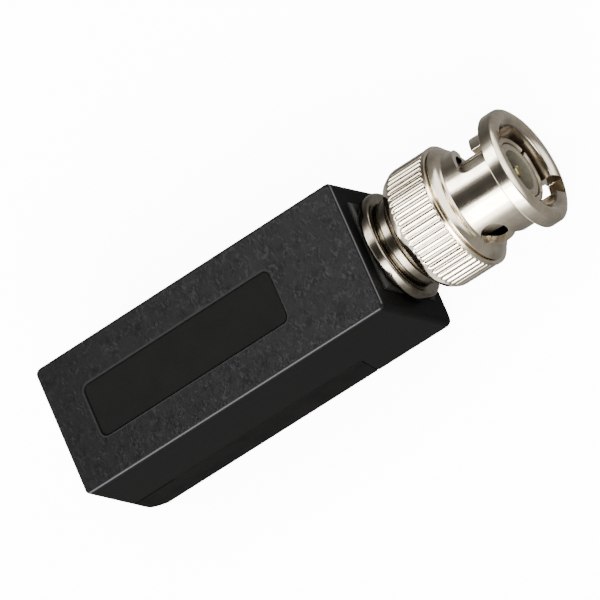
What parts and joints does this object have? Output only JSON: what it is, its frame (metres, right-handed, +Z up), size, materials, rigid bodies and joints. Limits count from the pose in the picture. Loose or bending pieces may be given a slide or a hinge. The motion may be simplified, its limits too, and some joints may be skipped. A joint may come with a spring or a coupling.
{
  "type": "cctv video balun",
  "caption": "Passive video balun: a small black moulded case with a knurled bayonet plug at one end and a screw terminal for a wire pair at the other.",
  "frame": {"origin": "centre of the case's flat underside, where it rests", "axes": "+X along the case towards the bayonet plug, +Z up through the label face"},
  "size_m": [0.0612, 0.0162, 0.0149],
  "materials": {
    "housing": "fine grained",
    "cover": "fine grained",
    "label": "smooth satin",
    "block": "satin",
    "nickel": "bright nickel plate on turned brass",
    "tinned": "tinned",
    "insulation": "waxy",
    "gold": "gold plated",
    "gasket": "soft",
    "spring_steel": "bare spring steel",
    "board": "solder mask",
    "ferrite": "matte",
    "enamelled_wire": "enamelled copper",
    "suppressor": "dipped",
    "capacitor": "dipped",
    "resistor": "lacquered",
    "terminal": "satin",
    "clamp": "nickel plated",
    "screw": "zinc plated"
  },
  "bodies": {
    "case": {"upper_housing": "housing", "bottom_cover": "cover", "label_plate": "label", "connector_block": "block", "connector_body": "nickel", "lock_ring": "nickel", "ground_tag": "tinned", "outer_contact": "nickel", "insulator": "insulation", "centre_pin": "gold", "gasket": "gasket", "wave_washer": "spring_steel", "circuit_board": "board", "signal_lead": "tinned", "transformer_core": "ferrite", "line_winding": "enamelled_wire", "camera_winding": "enamelled_wire", "surge_suppressor": "suppressor", "capacitor": "capacitor", "resistor": "resistor", "terminal_block": "terminal", "terminal_bar_1": "tinned", "terminal_bar_2": "tinned"},
    "cage_1": {"clamp_cage_1": "clamp"},
    "cage_2": {"clamp_cage_2": "clamp"},
    "screw_1": {"clamp_screw_1": "screw"},
    "screw_2": {"clamp_screw_2": "screw"},
    "carriage": {"thrust_washer": "spring_steel"},
    "nut": {"bayonet_nut": "nickel", "retaining_ring": "spring_steel"}
  },
  "joints": [
    {"name": "nut_draw", "type": "slide", "parent": "case", "child": "carriage", "axis": [1, 0, 0], "range_m": [0, 0.0007], "stiffness_N_per_m": 4000, "springref_m": -0.0005, "deforming": ["wave_washer"]},
    {"name": "nut_turn", "type": "hinge", "parent": "carriage", "child": "nut", "pos_m": [0.03, 0, 0.0075], "axis": [1, 0, 0], "continuous": true},
    {"name": "clamp_screw_1_turn", "type": "hinge", "parent": "case", "child": "screw_1", "pos_m": [-0.0164, -0.0025, 0.004], "axis": [0, 0, 1], "range_deg": [0, 1080]},
    {"name": "clamp_cage_1_slide", "type": "slide", "parent": "case", "child": "cage_1", "axis": [0, 0, -1], "range_m": [0, 0.0015]},
    {"name": "clamp_screw_2_turn", "type": "hinge", "parent": "case", "child": "screw_2", "pos_m": [-0.0164, 0.0025, 0.004], "axis": [0, 0, 1], "range_deg": [0, 1080]},
    {"name": "clamp_cage_2_slide", "type": "slide", "parent": "case", "child": "cage_2", "axis": [0, 0, -1], "range_m": [0, 0.0015]}
  ],
  "couplings": [
    {"joint": "clamp_screw_1_turn", "follows": "clamp_cage_1_slide", "rad_per_m": 12566},
    {"joint": "clamp_screw_2_turn", "follows": "clamp_cage_2_slide", "rad_per_m": 12566}
  ]
}
